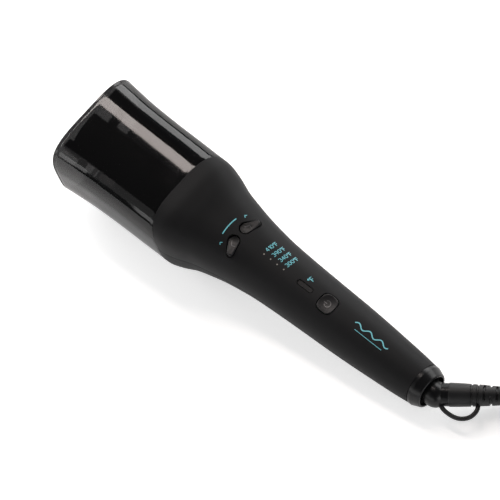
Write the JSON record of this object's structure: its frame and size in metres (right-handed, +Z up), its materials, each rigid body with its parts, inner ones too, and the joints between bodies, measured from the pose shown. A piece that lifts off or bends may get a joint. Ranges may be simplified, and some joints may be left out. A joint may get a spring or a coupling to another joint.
{
  "type": "automatic hair curler",
  "caption": "Automatic hair curler: heated barrel and motor-driven hair winder in a smoked see-through chamber, on a tapered handle with buttons, status lights and a swivelling cord.",
  "frame": {"origin": "on the table, under the middle of the tool without its lead", "axes": "+X runs from the mouth of the chamber to the tail, +Z is up and the controls face up, +Y is the side of the left direction button. The tool's own axis dips 5.2 degrees towards the tail, because the tool rests on the back of its housing and on its tail collar."},
  "size_m": [0.5046, 0.1177, 0.0806],
  "materials": {
    "soft_touch_black": "soft-touch, matt charcoal black",
    "smoked_clear": "smoked see-through, glossy",
    "smoked_hooks": "smoked see-through, glossy",
    "black_plastic": "black, satin",
    "button_black": "black, semi-gloss",
    "barrel_coating": "dark ceramic coating, satin",
    "heat_resin": "dark brown heat-resistant resin",
    "white_ceramic": "matt white",
    "aluminium": "extruded",
    "sensor_orange": "epoxy bead",
    "bronze": "sintered bronze",
    "brass": "bright",
    "sheet_steel": "zinc-plated sheet",
    "bright_steel": "bright",
    "board_green": "solder mask",
    "switch_white": "moulded",
    "switch_red": "moulded",
    "chip_black": "moulded",
    "light_window": "milky clear",
    "lens_grey": "grey tinted",
    "gear_acetal": "white acetal",
    "soft_rubber": "black soft PVC",
    "cord_jacket": "black flexible PVC",
    "tie_fabric": "black hook-and-loop strap"
  },
  "bodies": {
    "housing": {"front_shell": "soft_touch_black", "rear_shell": "soft_touch_black", "chamber_hood": "smoked_clear", "chamber_bulkhead": "black_plastic", "guide_rail_left": "black_plastic", "guide_rail_right": "black_plastic", "heating_barrel": "barrel_coating", "barrel_cap": "black_plastic", "barrel_flange": "heat_resin", "ceramic_heater": "white_ceramic", "heat_spreader": "aluminium", "temperature_sensor": "sensor_orange", "thermal_fuse": "white_ceramic", "front_bush": "bronze", "rear_bush": "bronze", "gear_plate_front": "sheet_steel", "gear_plate_rear": "sheet_steel", "gearbox_pillars": "sheet_steel", "gearbox_screws": "bright_steel", "gear_axle": "bright_steel", "motor_body": "sheet_steel", "circuit_board": "board_green", "switch_bodies": "switch_white", "board_parts": "chip_black", "status_lights": "switch_white", "light_windows": "light_window", "indicator_lens": "lens_grey", "shell_screws": "bright_steel", "collar_ring": "black_plastic", "swivel_socket": "switch_white", "contact_leaves": "brass", "cord_lead": "cord_jacket", "cord_coil": "cord_jacket", "cord_end": "cord_jacket", "cord_ties": "tie_fabric", "plug_body": "black_plastic", "plug_blades": "brass"},
    "winder": {"drive_shaft": "bright_steel", "winder_rotor": "black_plastic", "winder_vane": "black_plastic", "winder_hooks": "smoked_hooks", "hook_studs": "bright_steel", "winder_nut": "bright_steel", "output_gear": "gear_acetal"},
    "compound": {"compound_gear": "gear_acetal"},
    "motor_rotor": {"motor_shaft": "bright_steel", "motor_pinion": "brass"},
    "left_button": {"direction_button_left": "button_black", "left_switch_plunger": "switch_red"},
    "right_button": {"direction_button_right": "button_black", "right_switch_plunger": "switch_red"},
    "power": {"power_button": "button_black", "power_switch_plunger": "switch_red"},
    "cord_swivel": {"swivel_neck": "black_plastic", "swivel_elbow": "black_plastic", "slip_rings": "brass", "strain_relief_boot": "soft_rubber", "hanging_loop": "soft_rubber"}
  },
  "joints": [
    {"name": "winder_spin", "type": "hinge", "parent": "housing", "child": "winder", "pos_m": [-0.07143, 0, 0.03448], "axis": [0.9957, 0, -0.0922], "continuous": true},
    {"name": "compound_spin", "type": "hinge", "parent": "housing", "child": "compound", "pos_m": [-0.06874, 0, 0.02017], "axis": [0.9957, 0, -0.0922], "continuous": true},
    {"name": "motor_spin", "type": "hinge", "parent": "housing", "child": "motor_rotor", "pos_m": [-0.0545, 0, 0.03292], "axis": [0.9957, 0, -0.0922], "continuous": true},
    {"name": "left_direction_press", "type": "slide", "parent": "housing", "child": "left_button", "axis": [-0.0922, 0, -0.9957], "range_m": [0, 0.0006], "stiffness_N_per_m": 300, "springref_m": -0.0004},
    {"name": "right_direction_press", "type": "slide", "parent": "housing", "child": "right_button", "axis": [-0.0922, 0, -0.9957], "range_m": [0, 0.0006], "stiffness_N_per_m": 300, "springref_m": -0.0004},
    {"name": "power_press", "type": "slide", "parent": "housing", "child": "power", "axis": [-0.0922, 0, -0.9957], "range_m": [0, 0.0006], "stiffness_N_per_m": 300, "springref_m": -0.0004},
    {"name": "cord_swivel_turn", "type": "hinge", "parent": "housing", "child": "cord_swivel", "pos_m": [0.12174, 0, 0.0166], "axis": [0.9957, 0, -0.0922], "continuous": true, "deforming": ["cord_lead"]}
  ],
  "couplings": [
    {"joint": "compound_spin", "follows": "winder_spin", "ratio": -3},
    {"joint": "motor_spin", "follows": "winder_spin", "ratio": 9}
  ]
}
